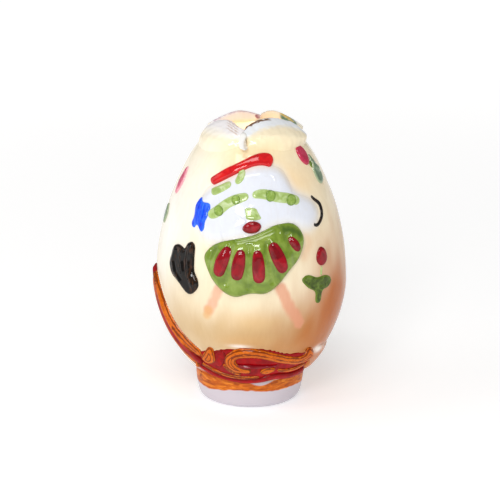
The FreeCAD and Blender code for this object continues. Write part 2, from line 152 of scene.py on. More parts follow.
def look_up(grid, az, z):
    """Bilinear value of a grid at azimuths and heights."""
    i = np.clip((z - FZ[0]) / STEP_Z, 0, len(FZ) - 1.001)
    j = np.clip((wrap(az) + math.pi) / STEP_A, 0, len(FA) - 1.001)
    i0, j0 = i.astype(int), j.astype(int)
    fi, fj = i - i0, j - j0
    low = grid[i0, j0] * (1 - fj) + grid[i0, j0 + 1] * fj
    high = grid[i0 + 1, j0] * (1 - fj) + grid[i0 + 1, j0 + 1] * fj
    return low * (1 - fi) + high * fi


def blur(grid, radius):
    """Three box blurs of a grid by a radius in mm."""
    for axis, step in ((0, STEP_Z), (1, STEP_A * BLUR_R)):
        n = max(int(round(radius / step)), 1)
        for _ in range(3):
            pad = [(0, 0), (0, 0)]
            pad[axis] = (n + 1, n)
            wide = np.pad(grid, pad, mode="wrap" if axis else "edge")
            total = np.cumsum(wide, axis=axis)
            a = np.take(total, range(2 * n + 1, total.shape[axis]), axis)
            b = np.take(total, range(0, total.shape[axis] - 2 * n - 1), axis)
            grid = (a - b) / (2 * n + 1)
    return grid


# ---------------------------------------------------------------- outlines of the CAD reliefs
FACES_OUT, LEAST_LOOP, LOOP_STEP = 0.6, 1.5, 0.25
EDGE_ROWS = (0.1, 0.24, 0.42)             # depths of the close rows along an edge


def signed_area(line):
    x, z = line.T
    return 0.5 * np.sum(x * np.roll(z, -1) - z * np.roll(x, -1))


def outward(line):
    """Unit normals that point out of a closed outline."""
    n = np.roll(line, -1, axis=0) - np.roll(line, 1, axis=0)
    n = np.stack([n[:, 1], -n[:, 0]], 1) / np.linalg.norm(n, axis=1)[:, None]
    return n if signed_area(line) > 0 else -n


def resample(loop, step):
    """Even points along a closed loop, with its corners relaxed a little."""
    loop = np.concatenate([loop, loop[:1]])
    s = np.concatenate([[0], np.cumsum(np.linalg.norm(np.diff(loop, axis=0), axis=1))])
    at = np.linspace(0, s[-1], max(int(s[-1] / step), 8), endpoint=False)
    loop = np.stack([np.interp(at, s, loop[:, k]) for k in (0, 1)], 1)
    for _ in range(2):
        loop = loop * 0.5 + 0.25 * (np.roll(loop, 1, axis=0) + np.roll(loop, -1, axis=0))
    return loop


def outlines(node, facing, grow):
    """Loops round the outer face of a relief node, as (arc length, z) about its facing."""
    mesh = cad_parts[node].data
    co = np.array([v.co[:] for v in mesh.vertices]) / MM
    tri = np.array([p.vertices[:] for p in mesh.polygons])
    _, first, same = np.unique(np.round(co, 3), axis=0, return_index=True, return_inverse=True)
    co, tri = co[first], same.ravel()[tri]
    h = above_egg(co)
    normal = np.cross(co[tri[:, 1]] - co[tri[:, 0]], co[tri[:, 2]] - co[tri[:, 0]])
    normal /= np.maximum(np.linalg.norm(normal, axis=1), 1e-9)[:, None]
    middle = co[tri].mean(1)
    around_axis = np.hypot(middle[:, 0], middle[:, 1])
    nr, nz = egg_normal(middle[:, 2])
    way = np.stack([middle[:, 0] / around_axis * nr, middle[:, 1] / around_axis * nr, nz], 1)
    outer = tri[((normal * way).sum(1) > FACES_OUT) & (h[tri] > (h.max() + h.min()) / 2).all(1)]
    edges = dict.fromkeys((a, b) for f in outer for a, b in zip(f, (f[1], f[2], f[0])))
    onward = {a: b for a, b in edges if (b, a) not in edges}
    turn = math.radians(facing)
    span = float(egg_r(co[:, 2].mean()))
    loops = []
    while onward:
        start = next(iter(onward))
        chain, here = [], start
        while here in onward:
            chain.append(here)
            here = onward.pop(here)
        p = co[chain]
        flat = np.stack([wrap(np.arctan2(p[:, 0], -p[:, 1]) - turn) * span, p[:, 2]], 1)
        length = np.linalg.norm(flat - np.roll(flat, 1, axis=0), axis=1).sum()
        if length > LEAST_LOOP:
            even = resample(flat, LOOP_STEP)
            loops.append((abs(signed_area(flat)), even + outward(even) * grow))
    loops.sort(key=lambda k: -k[0])
    return [k[1] for k in loops], turn, span


def distance(points, line, closed=True):
    """Least distance from points to a polyline."""
    a = line if closed else line[:-1]
    seg = (np.roll(line, -1, axis=0) if closed else line[1:]) - a
    length = np.maximum((seg ** 2).sum(1), 1e-12)
    best = np.full(len(points), 99.0)
    for k in range(0, len(points), CHUNK):
        q = points[k:k + CHUNK, None, :] - a[None]
        t = np.clip((q * seg).sum(2) / length, 0, 1)
        best[k:k + CHUNK] = np.sqrt(((q - t[..., None] * seg) ** 2).sum(2).min(1))
    return best


def inside(points, line):
    """Which points lie inside a closed outline."""
    x, z = points[:, 0], points[:, 1]
    hit = np.zeros(len(points), bool)
    for (x0, z0), (x1, z1) in zip(line, np.roll(line, -1, axis=0)):
        if z0 != z1:
            hit ^= ((z0 > z) != (z1 > z)) & (x < (x1 - x0) * (z - z0) / (z1 - z0) + x0)
    return hit


def cells(line, turn, span):
    """Field cells inside an outline: row, column and flat coordinates."""
    low, high = line.min(0), line.max(0)
    rows = np.where((FZ >= low[1]) & (FZ <= high[1]))[0]
    rel = wrap(FA - turn) * span
    cols = np.where((rel >= low[0]) & (rel <= high[0]))[0]
    ii, jj = (k.ravel() for k in np.meshgrid(rows, cols, indexing="ij"))
    p = np.stack([rel[jj], FZ[ii]], 1)
    ok = inside(p, line)
    return ii[ok], jj[ok], p[ok]


def triangulate(line, gap):
    """Fine mesh of the area inside an outline, with close rows along its edge."""
    extra = []
    for depth in EDGE_ROWS:
        row = line - outward(line) * depth
        extra.append(row[(distance(row, line) > depth * 0.93) & inside(row, line)])
    low, high = line.min(0), line.max(0)
    xs, zs = np.arange(low[0], high[0], gap), np.arange(low[1], high[1], gap * 0.87)
    grid = np.array([(x + (0.5 * gap if k % 2 else 0), z) for k, z in enumerate(zs) for x in xs])
    grid = grid[inside(grid, line)]
    extra.append(grid[distance(grid, line) > EDGE_ROWS[-1] + gap * 0.55])
    points = np.concatenate([line] + extra)
    count = len(line)
    verts, _, faces, _, _, _ = delaunay_2d_cdt(
        [Vector(p) for p in points], [(i, (i + 1) % count) for i in range(count)],
        [list(range(count))], 1, 1e-5)
    return np.array([v[:] for v in verts]), [tuple(f) for f in faces]


# ---------------------------------------------------------------- soft mounds under the enamels
FIGURE = ("blouse", "blouse_arm_left", "blouse_arm_right", "hat_ribbon", "hat_ribbon_end",
          "sleeve_band_left", "sleeve_band_right", "blouse_placket", "cuff")
ROCAILLE = ("rocaille_ground", "c_scroll", "red_shell", "gold_leaf", "rope_gold", "rope_red",
            "strap_red", "strap_gold_inner", "strap_gold_outer")
BACK = ("back_ground", "back_c_scroll", "back_rope_red", "back_strap_red",
        "back_strap_gold_inner", "back_strap_gold_outer")
FACING = {"strap_red": -65, "strap_gold_inner": -65, "strap_gold_outer": -65,
          "blouse_arm_left": -26, "blouse_arm_right": 26, "cuff": -36, "black_bundle": -45,
          "black_hook": 48, "bud_upper_right": 53, "bud_lower_right": 47, "bud_left": -70,
          "stem_upper_right": 53, "stem_lower_right": 47, "leaf_upper_right": 66,
          "leaf_lower_right": 44, "leaf_left": -78, "shoulder_right": 76,
          "back_ground": 192, "back_c_scroll": 192, "back_rope_red": 192,
          "back_strap_red": 127, "back_strap_gold_inner": 127, "back_strap_gold_outer": 127,
          "back_blossom_mid": 180, "back_blossom_left": 180, "back_blossom_right": 180,
          "back_stem": 180, "back_leaves": 180}


def mask_of(names):
    """One in the field's cells under the named reliefs, nought elsewhere."""
    mask = np.zeros(FIELD.shape)
    for name in names:
        loops, turn, span = outlines(name, FACING.get(name, 0), MASK_GROW)
        for line in loops:
            ii, jj, _ = cells(line, turn, span)
            mask[ii, jj] = 1
    return mask


MASK_GROW, FIGURE_MOUND, BASE_MOUND, COLLAR = 0.12, 0.9, 0.55, 0.4
figure_mask, base_mask, back_mask = (mask_of(k) for k in (FIGURE, ROCAILLE, BACK))
FIELD += FIGURE_MOUND * smooth(blur(figure_mask, 1.7), 0.36, 1.0)
FIELD += BASE_MOUND * (smooth(blur(base_mask, 0.4), 0.4, 1.0) + smooth(blur(back_mask, 0.4), 0.4, 1.0))
FIELD += COLLAR * smooth(FZ, 58.0, 67.0)[:, None]
# how white the ground is round the figure, and the field before any relief is laid on it
WHITENESS = smooth(blur(figure_mask, 2.2), 0.12, 0.86)
MOUNDS = FIELD.copy()


# ---------------------------------------------------------------- paint on the cream ground
def rgb(r, g, b):
    """Eight-bit screen colour to linear."""
    return np.array([(c / 255) / 12.92 if c < 11 else ((c / 255 + 0.055) / 1.055) ** 2.4
                     for c in (r, g, b)])


# the inside cream is lighter than the outside cream: painted light on the inside wall, which would
# otherwise lie in shade
CREAM, INSIDE_LIT_CREAM = rgb(246, 235, 206), rgb(252, 240, 218)
# the foot's white is greyer than the other whites: painted shade on the foot
PORCELAIN, BEAD_WHITE, FOOT_WHITE_SHADED = rgb(224, 229, 240), rgb(240, 240, 238), rgb(204, 198, 206)
# soft patches: azimuth and height of the centre, half-sizes in mm, colour, strength
PATCHES = [
    (-15, 66.5, 9, 4.5, rgb(252, 222, 160), 0.5),
    (-45, 62.0, 10, 8.0, rgb(250, 240, 214), 0.6),
    (10, 68.5, 8, 3.0, rgb(246, 224, 172), 0.5),
    (42, 62.0, 10, 6.0, rgb(240, 214, 172), 0.6),
    (24, 60.5, 7, 3.0, rgb(246, 214, 164), 0.6),
    # painted light: the left flank is painted whiter, as the side the light falls on
    (-66, 48.0, 10, 18.0, rgb(250, 249, 245), 0.9),
    (-36, 34.0, 9, 6.0, rgb(236, 224, 196), 0.7),
    (-46, 24.0, 9, 8.0, rgb(208, 178, 134), 0.85),
    (-26, 22.0, 8, 5.0, rgb(210, 186, 146), 0.7),
    (4, 22.5, 16, 8.0, rgb(198, 160, 106), 0.9),
    (2, 27.5, 8, 3.0, rgb(230, 188, 122), 0.4),
    (-2, 21.0, 8, 2.5, rgb(222, 174, 112), 0.5),
    (38, 23.0, 11, 9.0, rgb(186, 134, 74), 0.9),
    (54, 44.0, 9, 7.0, rgb(226, 200, 164), 0.6),
    (62, 29.0, 9, 13.0, rgb(184, 100, 22), 1.15),
    (84, 25.0, 19, 14.0, rgb(186, 98, 18), 1.0),
    (52, 17.5, 10, 4.5, rgb(184, 98, 18), 1.15),
    (20, 18.0, 12, 3.0, rgb(200, 146, 88), 0.75),
    (88, 46.0, 7, 9.0, rgb(208, 172, 130), 0.7),
    (150, 24.0, 20, 9.0, rgb(206, 140, 76), 0.7),
    (-130, 24.0, 20, 8.0, rgb(216, 166, 104), 0.6),
    (70, 12.0, 12, 4.5, rgb(196, 108, 24), 1.2),
    (56, 16.6, 2.0, 1.0, rgb(252, 248, 242), 1.0),
    (-50, 8.4, 8, 1.7, rgb(196, 84, 14), 1.4),
    # painted highlight: a thin white line along the top edge of the red ground
    (-7, 20.1, 2.6, 0.5, rgb(254, 250, 244), 0.9),
]
# painted strokes on the front: (x, z) points, width, softness, colour, strength
STROKES = [
    ([(-8.0, 35.4), (-9.4, 32.0), (-10.6, 29.4)], 2.4, 1.0, rgb(228, 168, 138), 0.75),
    ([(-10.5, 29.8), (-11.1, 28.2)], 2.0, 1.2, rgb(226, 170, 100), 0.6),
    ([(7.4, 36.0), (9.4, 31.5), (12.3, 26.2)], 2.9, 1.0, rgb(222, 152, 120), 0.8),
    ([(13.6, 48.4), (14.6, 46.6), (13.2, 43.2)], 2.0, 2.0, rgb(228, 170, 120), 0.3),
    ([(-15.6, 14.2), (-14.0, 11.6), (-11.6, 9.6), (-8.0, 8.4)], 2.6, 0.5, rgb(196, 84, 14), 0.95),
    ([(-13.2, 10.4), (-10.6, 8.6)], 0.7, 0.3, rgb(110, 14, 10), 0.9),
]
STROKE_SPAN, STROKE_REACH = 24.0, 12.0    # mm per radian, and how far a stroke is looked for
_brush = Waves(21, 5.0, 9)


def flat_stroke(points):
    """Points (x, z) seen from the front, as (arc length, z)."""
    return np.array([(math.asin(x / float(egg_r(z))) * STROKE_SPAN, z) for x, z in points])


def ground_paint(az, z):
    """Linear colour of the glaze at azimuths (radians) and heights."""
    r = egg_r(z)
    spot = np.stack([r * np.sin(az), -r * np.cos(az), z], -1)
    colour = np.tile(CREAM, (len(z), 1))
    rough = 1 + 0.25 * _brush(spot * [1, 1, 0.6])
    for a0, z0, wide, tall, tint, strength in PATCHES:
        d2 = (wrap(az - math.radians(a0)) * r / wide) ** 2 + ((z - z0) / tall) ** 2
        k = np.minimum(strength * np.exp(-d2 * 1.1 * rough), 1)[:, None]
        colour = colour * (1 - k) + tint * k
    here = np.stack([az * STROKE_SPAN, z], 1)
    for points, width, soft, tint, strength in STROKES:
        line = flat_stroke(points)
        near = np.abs(here - line.mean(0)).max(1) < STROKE_REACH
        if near.any():
            d = distance(here[near], line, False) + 0.25 * FINE(spot[near])
            k = (strength * (1 - smooth(d, width / 2 - soft / 2, width / 2 + soft / 2)))[:, None]
            colour[near] = colour[near] * (1 - k) + tint * k
    k = look_up(WHITENESS, az, z)[:, None]
    return colour * (1 - k) + PORCELAIN * k


# ---------------------------------------------------------------- materials
class Shader:
    """A glazed, node-based material; colours come from noise, painted and edge attributes."""

    def __init__(self, name, rough, coat, coat_rough=0.03):
        self.material = bpy.data.materials.new(name)
        self.material.use_nodes = True
        self.tree = self.material.node_tree
        self.bsdf = self.tree.nodes["Principled BSDF"]
        for key, value in (("Coat Weight", coat), ("Coat Roughness", coat_rough),
                           ("Coat IOR", 1.5), ("Specular IOR Level", 0.0)):
            self.bsdf.inputs[key].default_value = value
        self.rough = rough
        self.spot = self.add("TexCoord").outputs["Object"]

    def add(self, kind, **values):
        node = self.tree.nodes.new("ShaderNode" + kind)
        for key, value in values.items():
            if isinstance(value, bpy.types.NodeSocket):
                self.tree.links.new(value, node.inputs[key])
            elif key in node.inputs:
                node.inputs[key].default_value = value
            else:
                setattr(node, key, value)
        return node

    def attribute(self, name, out="Fac"):
        return self.add("Attribute", attribute_name=name).outputs[out]

    def noise(self, size, detail=3.0, stretch=(1, 1, 1), warp=0.0):
        """Noise with features of about size mm."""
        node = self.add("Mapping", Vector=self.spot)
        node.inputs["Scale"].default_value = [1 / (size * MM * k) for k in stretch]
        return self.add("TexNoise", Vector=node.outputs[0], Scale=1.0, Detail=detail,
                        Distortion=warp).outputs["Fac"]

    def math(self, operation, a, b=0.0):
        node = self.tree.nodes.new("ShaderNodeMath")
        node.operation = operation
        for socket, value in zip(node.inputs, (a, b)):
            if isinstance(value, bpy.types.NodeSocket):
                self.tree.links.new(value, socket)
            else:
                socket.default_value = value
        return node.outputs[0]

    def ramp(self, fac, stops):
        """A colour ramp; a stop is a place and a colour or a grey."""
        node = self.add("ValToRGB", Fac=fac)
        marks = node.color_ramp.elements
        while len(marks) < len(stops):
            marks.new(0.5)
        for mark, (at, colour) in zip(marks, stops):
            mark.position = at
            mark.color = (*colour, 1) if len(np.shape(colour)) else (colour,) * 3 + (1,)
        return node.outputs[0]

    def glow(self, colour, amount, strength):
        """Painted glow: emission that stands in for light coming through the thin wall, where amount
        is above zero.
        """
        self.tree.links.new(self.mix(amount, (0, 0, 0), colour), self.bsdf.inputs["Emission Color"])
        self.bsdf.inputs["Emission Strength"].default_value = strength

    def mix(self, fac, a, b, blend="MIX"):
        node = self.add("Mix", data_type="RGBA", blend_type=blend)
        for key, value in ((0, fac), (6, a), (7, b)):
            if isinstance(value, bpy.types.NodeSocket):
                self.tree.links.new(value, node.inputs[key])
            else:
                node.inputs[key].default_value = value if key == 0 else (*value, 1)
        return node.outputs[2]

    def finish(self, colour, bump, grain, lines=None):
        """Colour, a little wander in the roughness and orange peel or brush lines."""
        link = self.tree.links.new
        link(colour, self.bsdf.inputs["Base Color"])
        wander = self.add("MapRange", Value=self.noise(3.0))
        wander.inputs["To Min"].default_value = self.rough * 0.7
        wander.inputs["To Max"].default_value = self.rough * 1.3
        link(wander.outputs[0], self.bsdf.inputs["Roughness"])
        height = self.noise(grain, 2.0)
        if lines is not None:
            height = self.math("ADD", height, lines)
        node = self.add("Bump", Height=height, Strength=0.5, Distance=bump * MM)
        link(node.outputs[0], self.bsdf.inputs["Normal"])
        soft = self.add("Bump", Height=self.noise(2.6, 1.0), Strength=0.35, Distance=0.1 * MM)
        link(soft.outputs[0], self.bsdf.inputs["Coat Normal"])
        return self.material


# strength of the painted glow on the inside wall
INSIDE_PAINTED_GLOW = 0.42


def painted(name):
    """Cream or white glaze: the painted attribute, brushed a little unevenly."""
    s = Shader(name, 0.3, 0.7)
    streak = s.noise(1.1, 4.0, (1, 1, 5), 0.6)
    colour = s.mix(s.math("MULTIPLY", streak, 0.22), s.attribute("paint", "Color"),
                   rgb(206, 176, 132), "MULTIPLY")
    # painted glow: the inside wall gives off light, as though lit through the wall
    s.glow(colour, s.attribute("inside"), INSIDE_PAINTED_GLOW)
    return s.finish(colour, 0.012, 0.8)


def enamel(name, dark, mid, light, rim, size, stretch=(1, 1, 1), rough=0.2, coat=1.0,
           shade=None):
    """Thick coloured enamel: cloudy inside, thinner and paler or darker along its rim."""
    s = Shader(name, rough, coat)
    colour = s.ramp(s.noise(size, 4.0, stretch, 0.8), [(0.3, dark), (0.5, mid), (0.72, light)])
    if rim is not None:
        edge = s.math("ADD", s.attribute("edge"), s.math("MULTIPLY", s.noise(0.9), 0.35))
        colour = s.mix(s.ramp(edge, [(0.12, 1.0), (0.62, 0.0)]), colour, rim)
    # darker where the shade attribute says: on the skirt, a dark stroke and painted shadow along the
    # pleat grooves
    if shade is not None:
        colour = s.mix(s.attribute("shade"), colour, shade)
    return s.finish(colour, 0.015, 0.6)


def lustre(name, dark, mid, light):
    """Brushed gold lustre: fine dark lines that follow the edge of each stroke."""
    s = Shader(name, 0.25, 0.45, 0.05)
    edge = s.math("ADD", s.math("MULTIPLY", s.attribute("edge"), 7.5),
                  s.math("MULTIPLY", s.noise(3.0, 3.0), 5.0))
    stripe = s.math("SINE", edge)
    cloud = s.ramp(s.noise(1.3, 5.0, (1, 1, 1), 1.5), [(0.3, mid), (0.6, light), (0.8, mid)])
    where = s.math("ADD", stripe, s.math("MULTIPLY", s.noise(0.9, 3.0), 1.4))
    thin = s.ramp(where, [(0.0, 1.0), (0.28, 0.0)])
    colour = s.mix(s.math("MULTIPLY", thin, 0.75), cloud, dark)
    border = s.ramp(s.math("ADD", s.attribute("edge"), s.math("MULTIPLY", s.noise(0.8), 0.2)),
                    [(0.10, 0.9), (0.2, 0.0)])
    return s.finish(s.mix(border, colour, dark), 0.03, 0.5, s.math("MULTIPLY", thin, -0.6))


def gilded(name):
    """White glaze with streaky gilding where the gilt attribute says so."""
    s = Shader(name, 0.22, 0.5)
    stroke = s.noise(1.6, 5.0, (2.5, 2.5, 0.6), 1.2)
    gold = s.ramp(stroke, [(0.3, rgb(150, 62, 6)), (0.5, rgb(204, 100, 14)),
                           (0.7, rgb(236, 142, 36))])
    dark = s.ramp(s.noise(0.8, 4.0, (3.0, 3.0, 0.5), 1.5), [(0.30, 1.0), (0.42, 0.0)])
    gold = s.mix(s.math("MULTIPLY", dark, 0.6), gold, rgb(96, 34, 4))
    colour = s.mix(s.attribute("gilt"), s.attribute("paint", "Color"), gold)
    return s.finish(colour, 0.012, 0.8)


MATERIALS = {
    "cream": painted("cream_glaze"),
    "white": painted("white_glaze"),
    "foot": gilded("foot_glaze"),
    "skirt": enamel("green_skirt", rgb(94, 118, 30), rgb(114, 138, 42), rgb(136, 158, 66),
                    rgb(106, 126, 34), 3.0, shade=rgb(70, 98, 26)),
    "band": enamel("green_band", rgb(140, 164, 80), rgb(164, 188, 112), rgb(204, 217, 172),
                   rgb(176, 196, 128), 1.8),
    "green": enamel("green_leaf", rgb(46, 60, 10), rgb(74, 94, 22), rgb(106, 130, 44),
                    rgb(104, 130, 42), 1.6, coat=0.6),
    "ring": enamel("green_ring", rgb(116, 146, 56), rgb(136, 164, 74), rgb(160, 186, 104),
                   rgb(92, 122, 34), 0.9),
    "dark_green": enamel("dark_green", rgb(78, 100, 74), rgb(104, 130, 104), rgb(140, 158, 122),
                         rgb(176, 184, 150), 1.8, (1, 1, 2)),
    "scarlet": enamel("red_brim", rgb(178, 4, 12), rgb(206, 10, 18), rgb(220, 40, 26),
                      rgb(198, 14, 18), 2.4),
    "crimson": enamel("red_crimson", rgb(106, 0, 12), rgb(136, 2, 18), rgb(160, 6, 26),
                      rgb(126, 4, 18), 2.4, coat=0.7),
    "base_red": enamel("red_base", rgb(124, 2, 8), rgb(154, 4, 10), rgb(182, 8, 16),
                       rgb(116, 12, 8), 2.4, coat=0.35),
    "rose": enamel("rose_bud", rgb(158, 22, 54), rgb(178, 36, 70), rgb(196, 60, 92),
                   rgb(184, 44, 76), 1.4),
    "pink": enamel("pink_bud", rgb(176, 54, 88), rgb(206, 98, 122), rgb(228, 150, 164),
                   rgb(232, 180, 186), 1.4, (1, 1, 2.5)),
    "blue": enamel("blue_cuff", rgb(0, 40, 200), rgb(6, 78, 238), rgb(54, 116, 246),
                   rgb(60, 120, 242), 1.0, (0.8, 0.8, 2.0), coat=0.6),
    "black": enamel("black_bundle", rgb(4, 3, 2), rgb(14, 10, 7), rgb(70, 40, 18),
                    None, 1.3, (0.8, 0.8, 2.0), 0.12, 0.6),
    "gold": lustre("gold_lustre", rgb(84, 22, 0), rgb(176, 74, 0), rgb(214, 106, 6)),
}


# ---------------------------------------------------------------- meshes
def add_piece(node, verts, faces, look, paint, **amounts):
    """A mesh, from points in mm, in place of a CAD node, with what its material reads."""
    name = node + "_surface"
    mesh = bpy.data.meshes.new(name)
    mesh.from_pydata([tuple(v) for v in verts * MM], [], faces)
    mesh.update()
    for key, data in amounts.items():
        mesh.attributes.new(key, "FLOAT", "POINT").data.foreach_set("value", np.ravel(data))
    four = np.concatenate([paint, np.ones((len(paint), 1))], 1)
    mesh.attributes.new("paint", "FLOAT_COLOR", "POINT").data.foreach_set("color", np.ravel(four))
    mesh.polygons.foreach_set("use_smooth", [True] * len(mesh.polygons))
    mesh.materials.append(MATERIALS[look])
    piece = bpy.data.objects.new(name, mesh)
    scene.collection.objects.link(piece)
    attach(piece, "root")
    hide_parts(node)


def groove(lines, width, depth):
    """A relief detail: grooves (depth > 0) or ridges (depth < 0) along drawn lines."""
    def detail(x, z):
        total = np.zeros(len(x))
        here = np.stack([x, z], 1)
        for line in lines:
            d = distance(here, np.array(line, float), False)
            total = total - depth * np.exp(-(d / width) ** 2)
        return total
    return detail


SINK, LEAST_UP, PILLOW = 0.08, 0.012, 2.2  # depth of the underside, least height, edge curve


def relief(node, height, foot, look, detail=None, gap=0.3, least=0.0, grow=0.05, reshape=None,
           shade=None):
    """A closed piece over a relief node's outline, pillowed over foot mm along its edge."""
    loops, turn, span = outlines(node, FACING.get(node, 0), grow)
    corners, every, edge, paint, dim, tops = [], [], [], [], [], []

    def raised(p, d):
        az = turn + p[:, 0] / span
        base = look_up(FIELD, az, p[:, 1])
        k = np.clip(d / foot, 0, 1)
        up = height * np.sqrt(np.clip(1 - (1 - k) ** PILLOW, 0, 1))
        if detail is not None:
            x = egg_r(p[:, 1]) * np.sin(p[:, 0] / span)
            up = up + detail(x, p[:, 1]) * smooth(d, 0.05, 0.9)
        return az, base, base + np.maximum(up, LEAST_UP)

    for line in loops:
        if np.ptp(line, axis=0).min() < least:
            continue
        if reshape is not None:
            line = reshape(line)
        flat, faces = triangulate(line, gap)
        d = distance(flat, line)
        az, base, top = raised(flat, d)
        upper, lower = place(az, flat[:, 1], top), place(az, flat[:, 1], base - SINK)
        a, b, c = (upper[k] for k in faces[0][:3])
        if np.cross(b - a, c - a) @ (a * [1, 1, 0]) < 0:
            faces = [f[::-1] for f in faces]
        start, count = sum(len(k) for k in corners), len(flat)
        sides = {(a, b) for f in faces for a, b in zip(f, f[1:] + f[:1])}
        walls = sorted((b, a, a + count, b + count) for a, b in sides if (b, a) not in sides)
        under = [tuple(k + count for k in f[::-1]) for f in faces]
        every += [tuple(k + start for k in f) for f in faces + under + walls]
        corners += [upper, lower]
        edge += [d, d]
        paint += [ground_paint(az, flat[:, 1])] * 2
        x = egg_r(flat[:, 1]) * np.sin(flat[:, 0] / span)
        dim += [np.zeros(count) if shade is None else shade(x, flat[:, 1])] * 2
        ii, jj, p = cells(line, turn, span)
        tops.append((ii, jj, raised(p, distance(p, line))[2]))
    for ii, jj, top in tops:
        FIELD[ii, jj] = top
    add_piece(node, np.concatenate(corners), every, look, np.concatenate(paint),
              edge=np.concatenate(edge), shade=np.concatenate(dim))


# ---------------------------------------------------------------- figure and flowers
GROOVES = [[(-9.3, 45.2), (-10.2, 42.6), (-10.6, 40.2)], [(-4.9, 46.2), (-5.6, 42.0), (-5.9, 37.4)],
           [(-0.7, 46.2), (-0.8, 41.5), (-0.7, 36.6)], [(3.6, 47.2), (4.4, 42.0), (5.0, 38.0)],
           [(8.4, 49.0), (9.6, 45.4), (10.4, 42.6)]]
SHOULDER_X, SHOULDER_Z = (-9.6, -5.0, -1.0, 3.0, 6.6, 10.2), (45.6, 46.9, 47.9, 49.3, 50.4, 50.4)
_pleats = groove(GROOVES, 0.75, 0.6)


def skirt_detail(x, z):
    """Grooves between the pleats, on a skirt that leans in towards the waist."""
    over = np.clip(z - np.interp(x, SHOULDER_X, SHOULDER_Z) + 3.0, 0, 4)
    return _pleats(x, z) + 0.3 - 0.17 * over


# darker marks on the skirt: (x, z) points and strength; the first is a dark green stroke, the weaker
# ones along the pleat grooves are painted shadow
SHADES = [([(7.8, 50.4), (9.6, 50.0), (11.4, 48.8)], 1.0), ([(-3.2, 43.0), (-3.0, 39.0)], 0.35),
          ([(1.6, 43.6), (1.9, 39.0)], 0.35), ([(6.6, 46.4), (8.0, 42.6)], 0.4),
          ([(-7.2, 44.0), (-8.0, 40.0)], 0.35)]
SHADE_WIDTH = 0.7


def skirt_shade(x, z):
    """How dark the dark stroke and the painted groove shadows make the skirt at points seen from the
    front.
    """
    here, total = np.stack([x, z], 1), np.zeros(len(x))
    for line, strength in SHADES:
        d = distance(here, np.array(line), False) + 0.3 * FINE(np.stack([x, x, z], 1))
        total = np.maximum(total, strength * np.exp(-np.maximum(d, 0) ** 2 / SHADE_WIDTH ** 2))
    return total


# Each call: node, height, how far in from the edge it rises, look. Every relief lies on
# those before it, so the order counts.
relief("skirt", 1.55, 2.9, "skirt", skirt_detail, 0.28, shade=skirt_shade)
for k in range(5):
    relief("skirt_petal_%d" % (k + 1), 0.24, 0.8, "crimson")
relief("blouse", 0.02, 0.3, "white", groove(
    [[(-5.4, 56.6), (-4.6, 53.4), (-3.6, 50.4)], [(2.2, 57.0), (1.6, 54.0)],
     [(4.0, 63.0), (2.2, 61.4)], [(6.8, 56.0), (5.4, 53.6), (3.2, 51.6)]], 0.9, 0.12), 0.4)
relief("blouse_arm_left", 0.02, 0.3, "white", None, 0.4)
relief("blouse_arm_right", 0.02, 0.3, "white", None, 0.4)
relief("waist_bow", 1.15, 0.8, "crimson", groove([[(-0.3, 51.9), (0.0, 50.3)]], 0.35, 0.15))
relief("hat_brim", 0.95, 0.75, "scarlet")
for name in ("hat_ribbon", "hat_ribbon_end", "sleeve_band_right", "sleeve_band_left"):
    relief(name, 0.2, 0.5, "band")
relief("blouse_placket", 0.2, 0.5, "band", reshape=lambda line: (
    (line - line.min(0)) * [2.1, 0.62] + line.min(0) - [0.8, 0]))
relief("sleeve_rings", 0.16, 0.3, "ring", least=1.6)
relief("cuff", 0.35, 0.6, "blue", groove(
    [[(-1.6, 56.0), (-1.4, 53.6), (-2.2, 50.8)], [(0.0, 56.4), (0.3, 53.6), (0.0, 50.6)],
     [(1.4, 55.8), (1.5, 53.0), (1.3, 49.6)]], 0.3, 0.14))
relief("black_bundle", 0.85, 0.8, "black", groove(
    [[(-2.4, 43.4), (-3.0, 40.6), (-2.0, 38.0), (0.2, 36.0)],
     [(0.4, 44.4), (0.2, 41.0), (1.0, 38.4)],
     [(2.6, 45.0), (2.4, 41.6), (3.0, 38.2), (4.2, 35.6)]], 0.55, -0.5),
       reshape=lambda line: line - [0.9, 0] * smooth(-line[:, :1], 0.5, 3.2))
relief("black_hook", 0.3, 0.4, "black")
relief("bud_upper_right", 0.55, 0.9, "rose")
relief("bud_lower_right", 0.55, 0.9, "crimson")
relief("bud_left", 0.55, 0.9, "pink")
relief("stem_upper_right", 0.35, 0.5, "green")
relief("stem_lower_right", 0.25, 0.3, "band")
relief("leaf_upper_right", 0.45, 0.8, "dark_green")
relief("leaf_lower_right", 0.45, 0.7, "green",
       groove([[(-4.4, 37.2), (-1.6, 35.8), (0.0, 35.4)], [(3.6, 36.0), (1.4, 35.6), (0.0, 35.2)]],
              0.3, 0.12))
relief("leaf_left", 0.45, 0.8, "dark_green")

# ---------------------------------------------------------------- base rocaille, front and back
relief("rocaille_ground", 0.04, 0.3, "base_red")
relief("c_scroll", 0.65, 0.9, "gold", grow=0.3)
relief("scroll_boss", 0.9, 1.3, "crimson", lambda x, z: (
    1.1 * np.exp(-((x - 0.6) / 2.6) ** 2 - ((z - 15.5) / 1.3) ** 2)))
relief("scroll_drop", 0.6, 0.7, "gold")
relief("scroll_flicks", 0.35, 0.45, "gold", grow=0.15)
relief("red_shell", 0.35, 0.9, "base_red")
relief("gold_leaf", 0.6, 0.8, "gold", grow=0.35)
relief("rope_gold", 0.45, 0.5, "gold")
relief("rope_red", 0.6, 0.7, "base_red")


def widened(line):
    """The outer strap spreads outwards and down over the flank towards the foot."""
    n = outward(line)
    outer = np.clip(-(n @ [0.8, 0.6]), 0, 1)
    return line + n * (0.2 + outer * (0.5 + 1.5 * (1 - smooth(line[:, 1], 14, 24))))[:, None]


